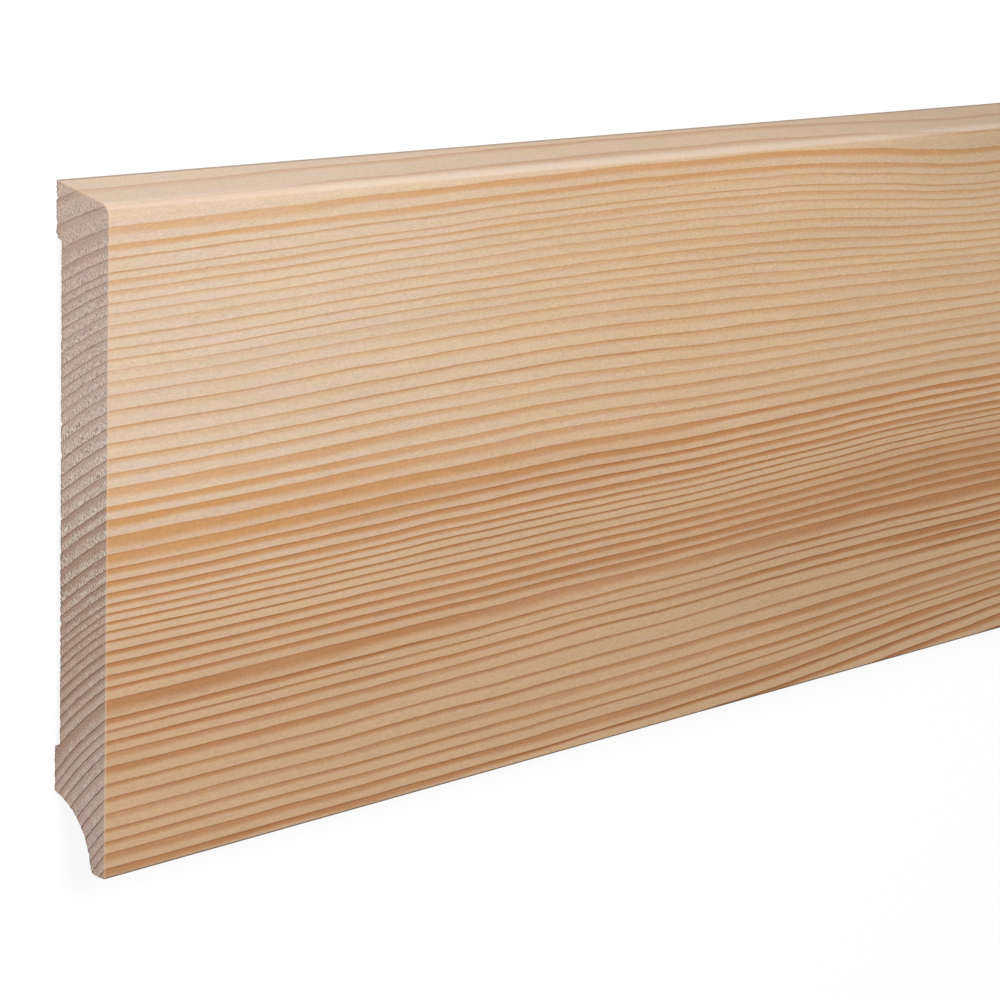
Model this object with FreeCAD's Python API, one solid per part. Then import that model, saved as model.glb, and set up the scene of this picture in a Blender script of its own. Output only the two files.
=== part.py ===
"""A length of solid softwood skirting board, machined from one plank.

The board lies on its back: X runs along its length, Y from its foot up to its
top edge, and Z from the back, which goes against the wall, to the show face.
Z = 0 is the plane of the two back lands, and the origin is at the middle of the
board's footprint. Millimetres.

Section, as it stands against a wall with its back to the left and its show face
to the right: the top edge falls to a rounded front arris, the back has a shallow
relief groove with splayed sides between two lands, and under the lower land a
hollow cove leaves room for cables and ends in a slim foot with a rounded heel.
"""

import FreeCAD, Part
import math
import os

# Overall size
BOARD_LENGTH = 2400.0
BOARD_HEIGHT = 150.0
BOARD_THICKNESS = 18.0

# Top edge: it falls from the back to the front, where it is rounded over
TOP_FALL_ANGLE = 10.6
FRONT_ROUND_RADIUS = 3.0

# Relief groove in the back, between the upper and the lower land
UPPER_LAND_HEIGHT = 12.0
LOWER_LAND_HEIGHT = 10.4
GROOVE_DEPTH = 1.8
GROOVE_SPLAY_ANGLE = 19.0

# Cable cove under the lower land, and the foot that it leaves
COVE_HEIGHT = 15.5
COVE_RADIUS = 16.3
FOOT_THICKNESS = 5.0
HEEL_RADIUS = 1.8

# Arrises that a hand or a floor meets, eased with a few strokes of abrasive
EASED_RADIUS = 0.4

# How near an edge must pass to the corner that names it
PICK_TOLERANCE = 0.01


def section_point(height, depth):
    """A point of the section: its height above the foot and its depth in front of the lands."""
    return FreeCAD.Vector(0.0, height - BOARD_HEIGHT / 2.0, depth)


def section_corners():
    """The section's corners by name, in order round the board, before any arris is rounded."""
    top_fall = BOARD_THICKNESS * math.tan(math.radians(TOP_FALL_ANGLE))
    groove_run = GROOVE_DEPTH * math.tan(math.radians(GROOVE_SPLAY_ANGLE))
    lower_land_top = COVE_HEIGHT + LOWER_LAND_HEIGHT
    upper_land_foot = BOARD_HEIGHT - UPPER_LAND_HEIGHT
    return {
        "back_top": section_point(BOARD_HEIGHT, 0.0),
        "front_top": section_point(BOARD_HEIGHT - top_fall, BOARD_THICKNESS),
        "front_foot": section_point(0.0, BOARD_THICKNESS),
        "heel": section_point(0.0, BOARD_THICKNESS - FOOT_THICKNESS),
        "cove_top": section_point(COVE_HEIGHT, 0.0),
        "lower_land_top": section_point(lower_land_top, 0.0),
        "groove_foot": section_point(lower_land_top + groove_run, GROOVE_DEPTH),
        "groove_top": section_point(upper_land_foot - groove_run, GROOVE_DEPTH),
        "upper_land_foot": section_point(upper_land_foot, 0.0),
    }


def cove_arc(heel, cove_top):
    """The cove from the heel up to the lower land: one arc, hollowed out towards the show face."""
    chord = cove_top - heel
    half_chord = chord.Length / 2.0
    hollow = COVE_RADIUS - math.sqrt(COVE_RADIUS ** 2 - half_chord ** 2)
    into_board = FreeCAD.Vector(0.0, -chord.z, chord.y).normalize()
    deepest = (heel + cove_top) * 0.5 + into_board * hollow
    return Part.Arc(heel, deepest, cove_top).toShape()


def section_face(corners):
    """The flat section: straight from corner to corner, with the cove as an arc."""
    names = list(corners)
    edges = []
    for name, following in zip(names, names[1:] + names[:1]):
        start = corners[name]
        end = corners[following]
        if name == "heel":
            edges.append(cove_arc(start, end))
        else:
            edges.append(Part.LineSegment(start, end).toShape())
    return Part.Face(Part.Wire(edges))


def arris(solid, corner):
    """The edge of the board that runs along its length through a corner of the section."""
    for edge in solid.Edges:
        start = edge.Vertexes[0].Point
        end = edge.Vertexes[-1].Point
        off_corner = math.hypot(start.y - corner.y, start.z - corner.z)
        if abs(end.x - start.x) > BOARD_LENGTH / 2.0 and off_corner < PICK_TOLERANCE:
            return edge
    raise ValueError("no arris runs through that corner")


def skirting_board():
    """The whole board: its section drawn out along the length, then its arrises rounded."""
    corners = section_corners()
    board = section_face(corners).extrude(FreeCAD.Vector(BOARD_LENGTH, 0.0, 0.0))
    board.translate(FreeCAD.Vector(-BOARD_LENGTH / 2.0, 0.0, 0.0))
    roundings = {
        "front_top": FRONT_ROUND_RADIUS,
        "heel": HEEL_RADIUS,
        "front_foot": EASED_RADIUS,
        "cove_top": EASED_RADIUS,
    }
    for name, radius in roundings.items():
        board = board.makeFillet(radius, [arris(board, corners[name])])
    return board.Solids[0]


os.makedirs("parts", exist_ok=True)
board = skirting_board()
board.exportStep("parts/skirting_board.step")
print("skirting_board: valid", board.isValid(), "faces", len(board.Faces), "litres", round(board.Volume / 1e6, 3))
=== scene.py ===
# %% [markdown]
# # A length of softwood skirting board
# The real thing is one piece: a slow-grown softwood plank, planed to a section and
# sawn square at both ends. All its interest is in the wood itself. So this lesson
# builds three things with care: the section with its rounded and eased arrises, the
# growth rings as one solid pattern that runs through the face, the edges and the end
# grain alike, and the rough relief that the saw leaves on the ends.
#
# The packed model is loaded first. It gives the board's place and overall size. Its
# frame is in metres: X along the board, Y from its foot to its top edge, Z from its
# back to its show face. The wood is easier to think about in millimetres from the
# board's left end, its foot and its back, so the sizes below are in those.

# %% Load the frame
import math

import bpy
from mathutils import Matrix, Vector


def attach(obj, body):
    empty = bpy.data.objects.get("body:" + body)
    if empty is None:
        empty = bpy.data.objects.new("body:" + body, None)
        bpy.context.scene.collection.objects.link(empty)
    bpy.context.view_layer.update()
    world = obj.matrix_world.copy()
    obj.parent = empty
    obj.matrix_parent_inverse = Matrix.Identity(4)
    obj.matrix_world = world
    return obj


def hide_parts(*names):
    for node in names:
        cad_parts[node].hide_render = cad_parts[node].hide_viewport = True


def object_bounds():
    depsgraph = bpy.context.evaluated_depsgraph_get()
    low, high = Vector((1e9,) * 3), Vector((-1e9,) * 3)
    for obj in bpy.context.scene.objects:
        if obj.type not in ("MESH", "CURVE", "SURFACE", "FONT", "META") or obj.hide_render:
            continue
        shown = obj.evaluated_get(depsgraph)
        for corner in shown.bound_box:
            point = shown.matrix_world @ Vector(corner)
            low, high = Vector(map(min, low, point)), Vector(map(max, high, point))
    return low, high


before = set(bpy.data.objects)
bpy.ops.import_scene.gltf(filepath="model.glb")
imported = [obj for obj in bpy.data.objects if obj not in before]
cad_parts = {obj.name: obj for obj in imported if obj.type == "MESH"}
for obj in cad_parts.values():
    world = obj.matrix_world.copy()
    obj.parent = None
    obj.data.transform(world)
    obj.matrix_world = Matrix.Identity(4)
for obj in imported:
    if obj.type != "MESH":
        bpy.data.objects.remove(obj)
cad_low, cad_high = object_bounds()

MM = 0.001
LENGTH = (cad_high.x - cad_low.x) / MM
HEIGHT = (cad_high.y - cad_low.y) / MM
THICKNESS = (cad_high.z - cad_low.z) / MM
print("board", round(LENGTH, 2), "x", round(HEIGHT, 2), "x", round(THICKNESS, 2), "mm")

# %% [markdown]
# ## The section as two edges
# Seen on its end, the board is a shape that any level line crosses only once. One
# function can then give the back edge and one the front edge, as a depth in front of
# the back lands at each height above the foot. A list of points would also do, but
# nobody could read it or change it. The rounds are circles here, so they stay true
# however finely the outline is cut up later.

# %% The section's sizes and rounds
TOP_FALL = math.radians(10.6)
FRONT_ROUND = 3.0
UPPER_LAND = 12.0
LOWER_LAND = 10.4
GROOVE_DEPTH = 1.8
GROOVE_SPLAY = math.radians(19.0)
COVE_HEIGHT = 15.5
COVE_RADIUS = 16.3
FOOT_THICKNESS = 5.0
HEEL_RADIUS = 1.8
EASED_RADIUS = 0.4

groove_run = GROOVE_DEPTH * math.tan(GROOVE_SPLAY)
land_top = COVE_HEIGHT + LOWER_LAND
land_foot = HEIGHT - UPPER_LAND
round_depth = THICKNESS - FRONT_ROUND
round_height = HEIGHT - round_depth * math.tan(TOP_FALL) - FRONT_ROUND / math.cos(TOP_FALL)
round_top = round_height + FRONT_ROUND * math.cos(TOP_FALL)


def cove_centre():
    """Depth and height of the cove's centre, from its two ends and its radius."""
    heel_depth = THICKNESS - FOOT_THICKNESS
    chord = math.hypot(heel_depth, COVE_HEIGHT)
    away = math.sqrt(COVE_RADIUS ** 2 - (chord / 2) ** 2)
    depth = heel_depth / 2 - away * COVE_HEIGHT / chord
    height = COVE_HEIGHT / 2 - away * heel_depth / chord
    return depth, height


cove_depth, cove_height = cove_centre()
heel_reach = COVE_RADIUS + HEEL_RADIUS
heel_depth = cove_depth + math.sqrt(heel_reach ** 2 - (HEEL_RADIUS - cove_height) ** 2)
heel_top = cove_height + (HEEL_RADIUS - cove_height) * COVE_RADIUS / heel_reach
lip_reach = COVE_RADIUS + EASED_RADIUS
lip_height = cove_height + math.sqrt(lip_reach ** 2 - (EASED_RADIUS - cove_depth) ** 2)
lip_foot = cove_height + (lip_height - cove_height) * COVE_RADIUS / lip_reach
print("cove centre", round(cove_depth, 3), round(cove_height, 3), "lip", round(lip_height, 3))


# %% The back edge and the front edge
def round_span(radius, offset):
    """Half the width of a circle at a distance from its centre."""
    return math.sqrt(max(0.0, radius ** 2 - offset ** 2))


def back_edge(height):
    """Depth of the back edge: rounded heel, cove, eased lip, land, groove and land."""
    if height < heel_top:
        return heel_depth - round_span(HEEL_RADIUS, HEEL_RADIUS - height)
    if height < lip_foot:
        return cove_depth + round_span(COVE_RADIUS, height - cove_height)
    if height < lip_height:
        return EASED_RADIUS - round_span(EASED_RADIUS, lip_height - height)
    into_groove = min(height - land_top, land_foot - height) / groove_run
    return GROOVE_DEPTH * min(max(into_groove, 0.0), 1.0)


def front_edge(height):
    """Depth of the front edge: eased foot, show face, rounded arris and falling top."""
    if height < EASED_RADIUS:
        return THICKNESS - EASED_RADIUS + round_span(EASED_RADIUS, EASED_RADIUS - height)
    if height < round_height:
        return THICKNESS
    if height < round_top:
        return round_depth + round_span(FRONT_ROUND, height - round_height)
    return (HEIGHT - height) / math.tan(TOP_FALL)


middle_thickness = front_edge(HEIGHT / 2) - back_edge(HEIGHT / 2)
print("half way up, the wood is", round(middle_thickness, 2), "mm thick")


# %% Levels up the section
def even_levels(start, end, pitch):
    """Heights from start up to, but not at, end, no further apart than pitch."""
    count = math.ceil((end - start) / pitch)
    return [start + (end - start) * step / count for step in range(count)]


# The rows of small faces follow these levels, closer together where the outline bends
ROW_PITCH = 0.33
FINE_PITCH = 0.1
EASED_STEP = 15
ROUND_STEP = 8
round_end = int(90 - math.degrees(TOP_FALL))
stretches = [
    (EASED_RADIUS, lip_foot, ROW_PITCH),
    (lip_foot, lip_height, FINE_PITCH),
    (lip_height, land_top, ROW_PITCH),
    (land_top, land_top + groove_run, 2 * FINE_PITCH),
    (land_top + groove_run, land_foot - groove_run, ROW_PITCH),
    (land_foot - groove_run, land_foot, 2 * FINE_PITCH),
    (land_foot, round_height, ROW_PITCH),
]
levels = [EASED_RADIUS * (1 - math.cos(math.radians(turn))) for turn in range(0, 90, EASED_STEP)]
for start, end, pitch in stretches:
    levels += even_levels(start, end, pitch)
for turn in range(0, round_end, ROUND_STEP):
    levels.append(round_height + FRONT_ROUND * math.sin(math.radians(turn)))
levels += even_levels(round_top, HEIGHT, FINE_PITCH)
print(len(levels), "levels below the top edge")

# %% [markdown]
# ## One flat slice of the section
# The two sawn ends are seen from close by and need real relief, so they can't be one
# big face each. A single flat slice is made here in code: rows of small faces between
# the two edges, with narrower columns beside the edges, where the arrises are. It
# carries three notes on its points that the later steps use: how far across the board
# a point is, its distance from the back edge, and the way inwards on the outline.


# %% Build the slice
COLUMNS = 44
EDGE_CROWDING = 0.6


def column_share(column):
    """How far across the board a column is, with the outer columns closer together."""
    even = column / COLUMNS
    crowded = 0.5 - 0.5 * math.cos(math.pi * even)
    return even + (crowded - even) * EDGE_CROWDING


def slice_point(height, depth):
    """A point of the slice in the frame, in metres."""
    return Vector((0.0, (height - HEIGHT / 2) * MM, depth * MM))


points = []
across = []
from_back = []
for height in levels:
    back = back_edge(height)
    width = front_edge(height) - back
    for column in range(COLUMNS + 1):
        share = column_share(column)
        points.append(slice_point(height, back + width * share))
        across.append(share)
        from_back.append(width * share)
points.append(slice_point(HEIGHT, 0.0))
across.append(0.0)
from_back.append(0.0)
print(len(levels), "rows and", COLUMNS + 1, "columns of points")

# %% Join its points to faces
row_length = COLUMNS + 1
top_point = len(points) - 1
faces = []
for row in range(len(levels) - 1):
    for column in range(COLUMNS):
        first = row * row_length + column
        faces.append((first, first + 1, first + 1 + row_length, first + row_length))
for column in range(COLUMNS):
    first = (len(levels) - 1) * row_length + column
    faces.append((first, first + 1, top_point))
print(len(points), "points and", len(faces), "faces")

# %% Follow its outline
front_side = [row * row_length + COLUMNS for row in range(len(levels))]
back_side = [row * row_length for row in reversed(range(len(levels)))]
foot_flat = list(range(1, COLUMNS))
outline = front_side + [top_point] + back_side + foot_flat
inwards = [Vector((0.0, 0.0, 0.0)) for point in points]
for step, corner in enumerate(outline):
    ahead = points[outline[(step + 1) % len(outline)]]
    along = (ahead - points[outline[step - 1]]).normalized()
    inwards[corner] = Vector((0.0, along.z, -along.y))
print(len(outline), "points on the outline")


# %% Keep it as a mesh with notes
def note(mesh, name, kind, field, values):
    """Write a value for every point of a mesh under a name."""
    attribute = mesh.attributes.new(name, kind, "POINT")
    attribute.data.foreach_set(field, values)


slice_mesh = bpy.data.meshes.new("section_slice")
slice_mesh.from_pydata(points, [], faces)
notes = {
    "across": ("FLOAT", "value", across),
    "from_back": ("FLOAT", "value", from_back),
    "inwards": ("FLOAT_VECTOR", "vector", [part for way in inwards for part in way]),
}
for name, (kind, field, values) in notes.items():
    note(slice_mesh, name, kind, field, values)
print("notes on the slice:", ", ".join(notes))

# %% [markdown]
# ## Short words for nodes
# The wood's pattern is needed twice, by the materials and by the relief of the sawn
# ends, and the two must agree to a fraction of a millimetre. Shader and geometry trees
# share their maths, noise and curve nodes, so one small class with short words for
# them can build the same network into either kind of tree. It is built up in three
# cells: adding a node, doing sums, and making steps, patterns and colours.


# %% Add a node
class Nodes:
    """Adds nodes to one tree, feeds them and returns their outputs."""

    def __init__(self, tree):
        self.tree = tree

    def node(self, kind, **settings):
        """A new node with its settings."""
        node = self.tree.nodes.new(kind)
        for name, value in settings.items():
            setattr(node, name, value)
        return node

    def feed(self, node, values):
        """Give inputs, by name or number, a link or a plain value."""
        for key, value in values.items():
            socket = node.inputs[key]
            if isinstance(value, bpy.types.NodeSocket):
                self.tree.links.new(value, socket)
            else:
                socket.default_value = value
        return node

    def made(self, kind, values, output=0, **settings):
        """A node with its settings and inputs, as one of its outputs."""
        return self.feed(self.node(kind, **settings), values).outputs[output]


print("Nodes:", Nodes.__doc__)


# %% Sums with nodes
class Sums(Nodes):
    """Short words for the maths nodes, so that a network reads as sums."""

    def math(self, operation, *values):
        """One Math node."""
        return self.made("ShaderNodeMath", dict(enumerate(values)), operation=operation)

    def chain(self, operation, first, *others):
        """Math nodes in a row, for an operation on more than two values."""
        for other in others:
            first = self.math(operation, first, other)
        return first

    def times(self, *values):
        """A product."""
        return self.chain("MULTIPLY", *values)

    def plus(self, *values):
        """A sum."""
        return self.chain("ADD", *values)

    def largest(self, *values):
        """The largest of some values."""
        return self.chain("MAXIMUM", *values)

    def minus(self, value, taken):
        """A difference."""
        return self.math("SUBTRACT", value, taken)

    def over(self, value, divisor):
        """A quotient."""
        return self.math("DIVIDE", value, divisor)

    def times_plus(self, value, factor, more):
        """A product and a sum in one node."""
        return self.math("MULTIPLY_ADD", value, factor, more)

    def vector(self, operation, *values):
        """One Vector Math node; a length or a dot product comes from its second output."""
        output = 1 if operation in {"LENGTH", "DOT_PRODUCT"} else 0
        return self.made("ShaderNodeVectorMath", dict(enumerate(values)), output, operation=operation)

    def scaled(self, vector, factor):
        """A vector times a number."""
        return self.made("ShaderNodeVectorMath", {0: vector, "Scale": factor}, operation="SCALE")

    def parts(self, vector):
        """The three parts of a vector."""
        return self.made("ShaderNodeSeparateXYZ", {0: vector}, slice(0, 3))

    def joined(self, x, y, z):
        """A vector from three numbers."""
        return self.made("ShaderNodeCombineXYZ", {0: x, 1: y, 2: z})

    def grey(self, value):
        """The same number three times, as a vector or a grey."""
        return self.joined(value, value, value)

    def cells(self, along, length, up, height, layer=0.0):
        """A place counted in cells of a length and a height, for noise drawn out to that shape."""
        return self.joined(self.over(along, length), self.over(up, height), layer)


print("Sums:", Sums.__doc__)


# %% Steps, patterns and colours with nodes
class Net(Sums):
    """Short words for smooth steps, noises, curves and colours, on top of the sums."""

    def eased(self, value, low, high, to_low=0.0, to_high=1.0):
        """A smooth step from low to high, and of its result from to_low to to_high."""
        places = {0: value, 1: low, 2: high, 3: to_low, 4: to_high}
        return self.made("ShaderNodeMapRange", places, interpolation_type="SMOOTHSTEP")

    def fades(self, value, *steps):
        """The product of smooth steps of one value, as for a band with soft edges."""
        return self.times(*[self.eased(value, *step) for step in steps])

    def ramped(self, value, low, high, to_low=0.0, to_high=1.0):
        """A straight step from low to high, flat outside them."""
        return self.made("ShaderNodeMapRange", {0: value, 1: low, 2: high, 3: to_low, 4: to_high})

    def noise(self, vector, scale=1.0, detail=2.0, roughness=0.5, output=0):
        """Soft noise between 0 and 1."""
        values = {"Vector": vector, "Scale": scale, "Detail": detail, "Roughness": roughness}
        return self.made("ShaderNodeTexNoise", values, output)

    def chance(self, value):
        """A fixed random number for each whole number."""
        return self.made("ShaderNodeTexWhiteNoise", {"W": value}, noise_dimensions="1D")

    def curve(self, value, knots):
        """A smooth curve through knots of (value, result)."""
        low = knots[0][0]
        span = knots[-1][0] - low
        base = min(result for at, result in knots)
        rise = max(result for at, result in knots) - base
        spots = [((at - low) / span, (result - base) / rise) for at, result in knots]
        node = self.node("ShaderNodeFloatCurve")
        node.mapping.use_clip = False
        line = node.mapping.curves[0]
        for spot in spots[1:-1]:
            line.points.new(*spot)
        line.points[0].location = spots[0]
        line.points[-1].location = spots[-1]
        for point in line.points:
            point.handle_type = "AUTO_CLAMPED"
        node.mapping.update()
        self.feed(node, {"Value": self.ramped(value, low, low + span)})
        return self.times_plus(node.outputs[0], rise, base)

    def blend(self, factor, first, second, mode="MIX"):
        """Two colours mixed."""
        values = {0: factor, 6: first, 7: second}
        return self.made("ShaderNodeMix", values, 2, data_type="RGBA", blend_type=mode)

    def shaded(self, colour, shade, share=1.0):
        """A colour made lighter or darker by a number, or by a share of it."""
        return self.blend(share, colour, self.grey(shade), "MULTIPLY")

    def tinted(self, colour, noise_colour, share):
        """A colour with a share of a noise's own colours."""
        tint = self.blend(1.0, noise_colour, MID_GREY, "ADD")
        return self.blend(share, colour, tint, "MULTIPLY")

    def noted(self, name):
        """What a note on the mesh says, in a shader."""
        return self.made("ShaderNodeAttribute", {}, "Fac", attribute_name=name)


# What a tint is measured from, and a noise's colour output or both of its outputs
MID_GREY = (0.5, 0.5, 0.5, 1.0)
COLOUR = 1
BOTH = slice(0, 2)
print("Net:", Net.__doc__)

# %% [markdown]
# ## The growth rings as one solid pattern
# A plank is cut out of a round tree, so its rings are parts of tubes about the pith.
# On this board the pith lies in front of the face and below the foot: that gives rings
# that climb across the end grain from back to front and nearly level lines along the
# face. The lines also sway where a branch once pushed the grain aside, so a few soft
# swells lift or lower them, and two noises add the small waves between. Each year's
# width comes from a growth curve, because the tree grew quickly when young, slowly in
# between, and quickly again.
#
# The pattern could be a picture or a stack of waves, but neither would carry round a
# corner. Here it is a formula in space: point in, number of rings out.

# %% Swells and sways of the grain
# Each swell: its lift, its middle along and up the board, its spread along and up
SWELLS = [
    (5.5, (230, 135), (220, 25)),
    (9.5, (365, 5), (120, 20)),
    (-4.5, (300, 135), (55, 25)),
    (2.5, (125, 90), (75, 40)),
    (5.0, (300, 65), (100, 25)),
    (3.0, (270, 35), (150, 17.5)),
]

# Each sway: the length and height of its waves, a layer of the noise of its own, and
# how its lift grows along the board, as from, to, lift before and lift after
SWAYS = [
    (42, 16, 3.1, (4, 60, 0.4, 1.3)),
    (260, 45, 7.5, (330, 620, 0.0, 22.0)),
]
HALF = 0.5


def from_middle(net, along, up, middle, spread):
    """How many spreads a place on the board lies from a middle, along and up."""
    off_along = net.times_plus(along, 1 / spread[0], -middle[0] / spread[0])
    off_up = net.times_plus(up, 1 / spread[1], -middle[1] / spread[1])
    return net.joined(off_along, off_up, 0.0)


def grain_lift(net, along, up):
    """How far the grain is lifted at a place on the board, in millimetres."""
    total = 0.0
    for lift, middle, spread in SWELLS:
        off = from_middle(net, along, up, middle, spread)
        nearness = net.math("POWER", 1 / math.e, net.vector("DOT_PRODUCT", off, off))
        total = net.times_plus(nearness, lift, total)
    for length, height, layer, growing in SWAYS:
        sway = net.minus(net.noise(net.cells(along, length, up, height, layer)), HALF)
        total = net.times_plus(sway, net.eased(along, *growing), total)
    return total


print(len(SWELLS), "swells and", len(SWAYS), "sways lift the grain")

# %% Where the rings run
PITH_DEPTH = 90.0
PITH_HEIGHT = -60.0
FACE_GAP = PITH_DEPTH - THICKNESS
ROUND_SCALE = 150.0

# The rings lean a little more than circles would about the middle of the board
LEAN = 0.075
LEAN_HEIGHT = 88.0
LEAN_SPREAD = 32.0

# A fine quiver of the lines: its length along the grain and its width round the pith,
# the scale and detail of its noise, and its size in rings
QUIVER_LENGTH = 14
QUIVER_WIDTH = 2
QUIVER_NOISE = (0.7, 3.0)
QUIVER = 0.16

# Height at which a ring meets the show face near the left end, and rings grown by then
GROWTH = [
    (-20, -6), (-10, -2.8), (2.3, 1), (5.7, 2), (11.4, 4), (18.3, 6), (21.5, 7), (25.3, 8), (31.2, 10),
    (36.2, 12), (40.4, 13), (45.9, 15), (51.2, 17), (57.8, 20), (61.7, 22), (66.6, 24), (72.5, 26),
    (80, 28), (82.9, 29), (86.8, 30), (93, 32), (99.6, 34), (106.3, 36), (111.3, 38), (115.5, 40),
    (120.3, 42), (124.7, 44), (129.3, 46), (131, 47), (133.9, 48), (136.7, 49), (140.5, 50),
    (145.6, 51), (151.3, 52), (170, 55.3),
]
print("pith:", round(FACE_GAP), "mm before the face,", round(-PITH_HEIGHT), "mm below the foot")


# %% The ring pattern
def add_rings(net, position):
    """The ring pattern: rings grown, height of the ring on the face, way round the pith."""
    spot = net.vector("ADD", net.scaled(position, 1 / MM), (LENGTH / 2, HEIGHT / 2, 0.0))
    along, up, depth = net.parts(spot)
    above_pith = net.minus(net.minus(up, PITH_HEIGHT), grain_lift(net, along, up))
    before_pith = net.minus(depth, PITH_DEPTH)
    # A ring is a circle about the pith, known by the height at which it meets the face
    behind_squared = net.times_plus(before_pith, before_pith, -FACE_GAP ** 2)
    squared = net.times_plus(above_pith, above_pith, behind_squared)
    circle = net.plus(net.math("SQRT", squared), PITH_HEIGHT)
    off_lean = net.times_plus(up, 1 / LEAN_SPREAD, -LEAN_HEIGHT / LEAN_SPREAD)
    lean = net.times(net.math("POWER", 1 / math.e, net.times(off_lean, off_lean)), LEAN)
    on_face = net.times_plus(lean, net.minus(THICKNESS, depth), circle)
    round_pith = net.times(net.math("ARCTAN2", before_pith, above_pith), ROUND_SCALE)
    grain = net.joined(net.over(along, QUIVER_LENGTH), on_face, net.over(round_pith, QUIVER_WIDTH))
    quiver = net.minus(net.noise(grain, *QUIVER_NOISE), HALF)
    rings = net.times_plus(quiver, QUIVER, net.curve(on_face, GROWTH))
    results = {"Rings": rings, "Height": on_face, "Round": round_pith}
    results.update({"Along": along, "Up": up, "Depth": depth})
    return results


# %% One ring group for each kind of tree
def pattern_group(kind):
    """The ring pattern as a node group for one kind of tree."""
    tree = bpy.data.node_groups.new("growth_rings", kind)
    tree.interface.new_socket("Position", in_out="INPUT", socket_type="NodeSocketVector")
    net = Net(tree)
    entry = net.node("NodeGroupInput")
    results = add_rings(net, entry.outputs["Position"])
    for name in results:
        tree.interface.new_socket(name, in_out="OUTPUT", socket_type="NodeSocketFloat")
    net.feed(net.node("NodeGroupOutput"), results)
    return tree


ring_groups = {kind: pattern_group(kind + "NodeTree") for kind in ("Shader", "Geometry")}
print("ring pattern:", len(ring_groups["Shader"].nodes), "nodes in each kind of tree")

# %% [markdown]
# ## Springwood and summerwood
# Within a year the wood starts pale and soft, then turns amber and hard, and stops at
# a dark line. The next year starts pale at once. So the colour is a sawtooth: a slow
# rise towards the bark and a sudden fall. Years differ, and so do decades: this tree
# laid down broad amber bands for some years and thin weak lines for others. Two tables
# hold that, and each of their columns becomes a curve over the years. A noise along
# each year adds the luck of the place, and a few zones are stronger or weaker than the
# tables say.

# %% How the years differ
# Each row is a year's number from the foot, the share of it that is summerwood, how
# amber that is, and how dark its last line is; years between two rows lie between them.
# The first table holds at the left end and the second from some way along the board
YEARS_AT_END = [
    (0, 0.4, 1, 0.7), (2, 0.45, 0.8, 0.5), (4, 0.3, 0.7, 0.5), (5, 0.32, 0.55, 0.4),
    (6, 0.3, 0.8, 0.5), (7, 0.26, 0.6, 0.4), (8, 0.42, 0.9, 0.4), (9, 0.42, 0.7, 0.5),
    (10, 0.4, 0.9, 0.5), (11, 0.26, 0.75, 0.6), (12, 0.34, 1, 0.8), (13, 0.7, 0.9, 0.3),
    (14, 0.36, 0.95, 0.5), (17, 0.4, 1, 0.7), (18, 0.24, 1, 0.9), (20, 0.3, 1, 0.9),
    (22, 0.32, 1, 0.8), (23, 0.45, 1, 0.8), (25, 0.42, 1, 0.7), (26, 0.66, 1, 0.4),
    (28, 0.56, 0.95, 0.25), (29, 0.45, 0.95, 0.3), (30, 0.5, 0.8, 0.3), (31, 0.42, 0.6, 0.35),
    (33, 0.32, 0.44, 0.55), (36, 0.32, 0.34, 0.42), (38, 0.34, 0.3, 0.3), (39, 0.22, 0.4, 0.5),
    (43, 0.32, 0.35, 0.35), (44, 0.26, 0.35, 0.45), (46, 0.38, 0.6, 0.4), (47, 0.22, 0.42, 0.6),
    (48, 0.22, 0.42, 0.4), (49, 0.42, 0.7, 0.15), (50, 0.45, 0.62, 0.1), (51, 0.3, 0.4, 0.2),
    (52, 0.24, 0.45, 0.3), (54, 0.3, 0.5, 0.3), (56, 0.4, 0.4, 0.2),
]
YEARS_ALONG = [
    (0, 0.3, 1, 0.8), (1, 0.25, 1, 0.9), (2, 0.5, 0.85, 0.5), (3, 0.18, 0.75, 0.6),
    (4, 0.32, 0.8, 0.4), (5, 0.36, 0.6, 0.3), (6, 0.3, 0.75, 0.5), (7, 0.2, 0.55, 0.4),
    (8, 0.16, 0.5, 0.4), (9, 0.22, 0.75, 0.5), (10, 0.32, 0.85, 0.5), (11, 0.2, 0.6, 0.5),
    (12, 0.2, 0.85, 0.65), (13, 0.48, 0.75, 0.35), (14, 0.5, 0.95, 0.5), (15, 0.62, 0.95, 0.5),
    (16, 0.46, 0.9, 0.5), (17, 0.46, 0.95, 0.6), (18, 0.36, 0.95, 0.8), (20, 0.24, 1, 0.95),
    (22, 0.32, 1, 1), (23, 0.5, 1, 0.85), (24, 0.38, 1, 1), (25, 0.4, 1, 0.95),
    (26, 0.48, 1, 0.7), (27, 0.36, 0.82, 0.35), (28, 0.36, 0.62, 0.3), (29, 0.34, 0.58, 0.35),
    (30, 0.3, 0.6, 0.42), (31, 0.34, 0.42, 0.28), (32, 0.38, 0.54, 0.28), (33, 0.28, 0.58, 0.6),
    (34, 0.32, 0.58, 0.52), (36, 0.38, 0.5, 0.4), (39, 0.38, 0.5, 0.38), (40, 0.3, 0.56, 0.5),
    (42, 0.4, 0.58, 0.42), (43, 0.36, 0.44, 0.38), (45, 0.3, 0.42, 0.4), (46, 0.45, 0.66, 0.42),
    (47, 0.26, 0.5, 0.62), (48, 0.28, 0.42, 0.4), (49, 0.46, 0.9, 0.2), (50, 0.4, 0.9, 0.15),
    (51, 0.24, 0.75, 0.5), (52, 0.2, 0.75, 0.5), (54, 0.3, 0.7, 0.4), (56, 0.4, 0.5, 0.3),
]
print(len(YEARS_AT_END), "rows at the left end,", len(YEARS_ALONG), "further along")

# %% Read the tables in a net
# From where the first table gives way to where the second one holds
TABLES_MEET = (40, 170)
PATCH_LENGTH = 60
NEXT_YEAR = 3.7

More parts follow.
